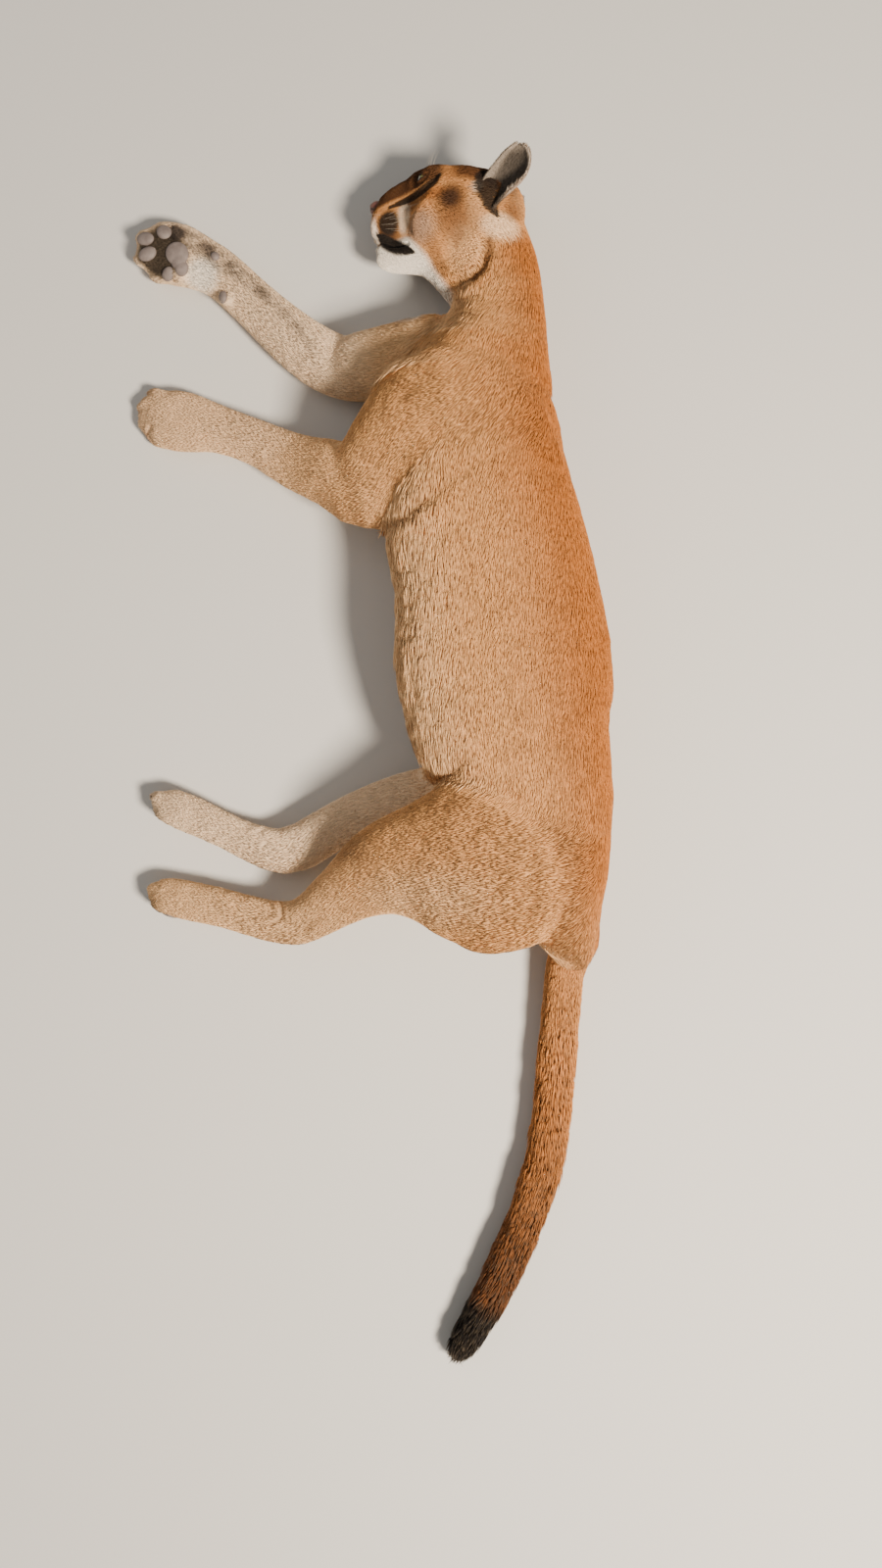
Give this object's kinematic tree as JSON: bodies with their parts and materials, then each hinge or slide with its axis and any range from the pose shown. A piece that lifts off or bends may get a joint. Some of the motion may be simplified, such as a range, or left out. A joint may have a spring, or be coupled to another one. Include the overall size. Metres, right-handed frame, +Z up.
{
  "type": "cougar",
  "caption": "Life-size still model of a slender adult cougar lying on its right side, legs out to one side and long tail trailing.",
  "frame": {"origin": "centre of the floor area that the lying animal covers, at floor level", "axes": "+Z up from the floor; +Y towards the head; +X towards the back, so that the legs reach to -X"},
  "size_m": [0.6945, 1.7201, 0.227],
  "materials": {
    "coat": "short fur, pale tan, matt",
    "coat_back": "short fur, warm orange brown along the back to tan on the flank, matt",
    "coat_paw": "short fur, pale sand, with dark grey-brown bare pads",
    "coat_tail": "thick fur, brown, darker along the upper side",
    "coat_tail_tip": "thick fur, brown turning near black at the tip",
    "ear_coat": "thin short fur, dark outside, pale hairs in the cup",
    "nose_leather": "bare, finely pebbled, slightly moist",
    "eye": "clear and wet over a dull amber iris"
  },
  "bodies": {
    "root": {"torso": "coat_back", "neck": "coat_back", "head": "coat", "nose": "nose_leather", "eye_left": "eye", "eye_right": "eye", "ear_left": "ear_coat", "ear_right": "ear_coat", "foreleg_left": "coat", "foreleg_right": "coat", "forepaw_left": "coat_paw", "forepaw_right": "coat_paw", "thigh_left": "coat", "thigh_right": "coat", "shank_left": "coat", "shank_right": "coat", "hindfoot_left": "coat_paw", "hindfoot_right": "coat_paw", "tail_base": "coat_tail", "tail_middle": "coat_tail", "tail_tip": "coat_tail_tip"}
  },
  "joints": []
}
